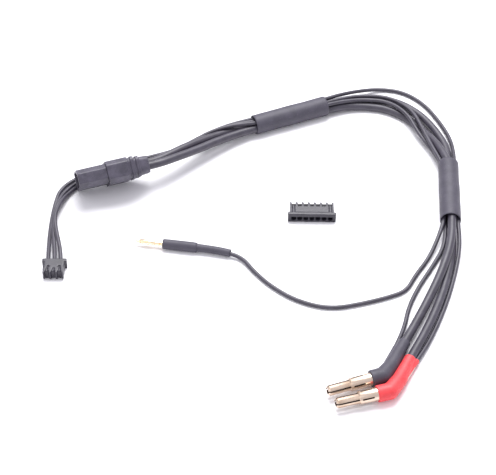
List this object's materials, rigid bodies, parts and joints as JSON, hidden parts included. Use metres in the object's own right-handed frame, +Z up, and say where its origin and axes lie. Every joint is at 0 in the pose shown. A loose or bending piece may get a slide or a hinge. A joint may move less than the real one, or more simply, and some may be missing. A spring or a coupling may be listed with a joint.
{
  "type": "balance charging lead",
  "caption": "Charging lead for a two-cell model battery: power plug, balance plug, stepped bullet plugs in elbow boots, small spring pin, bundle sleeves and a loose spare housing.",
  "frame": {"origin": "middle of the bench area that the plugs, boots, sleeves and housings cover, at bench height", "axes": "+Z up from the bench; +X to the right of the laid-out lead, from the plugs' end towards the loop; +Y away from the bullet plugs"},
  "size_m": [0.1714, 0.1848, 0.0178],
  "materials": {
    "nylon_black": "satin moulded",
    "silicone_black": "soft matte",
    "shrink_black": "satin",
    "shrink_red": "satin",
    "gold_plate": "polished gold plate",
    "tinned_copper": "dull solder",
    "tin_plate": "bright tin plate"
  },
  "bodies": {
    "lead": {"power_plug_housing": "nylon_black", "power_contact_negative": "gold_plate", "power_contact_positive": "gold_plate", "negative_plug_core": "tinned_copper", "positive_plug_core": "tinned_copper", "negative_wire": "silicone_black", "positive_wire": "silicone_black", "balance_wire_outer": "silicone_black", "balance_wire_middle": "silicone_black", "balance_wire_inner": "silicone_black", "balance_plug_housing": "nylon_black", "balance_contact_1": "tin_plate", "balance_contact_2": "tin_plate", "balance_contact_3": "tin_plate", "bundle_sleeve_1": "shrink_black", "bundle_sleeve_2": "shrink_black", "negative_bullet": "gold_plate", "positive_bullet": "gold_plate", "negative_boot": "shrink_black", "positive_boot": "shrink_red", "negative_bullet_core": "tinned_copper", "positive_bullet_core": "tinned_copper", "pin_body": "gold_plate", "pin_spring": "gold_plate", "pin_front_sleeve": "shrink_black", "pin_rear_sleeve": "shrink_black", "pin_core": "tinned_copper"},
    "plug_cover": {"power_plug_cover": "nylon_black"},
    "spare_housing": {"spare_plug_housing": "nylon_black"}
  },
  "joints": [
    {"name": "cover_slide", "type": "slide", "parent": "lead", "child": "plug_cover", "axis": [0.9547, 0.2955, 0.0349], "range_m": [0, 0.0055]},
    {"name": "spare_lift", "type": "slide", "parent": "lead", "child": "spare_housing", "axis": [0, 0, 1], "range_m": [0, 0.03]}
  ]
}
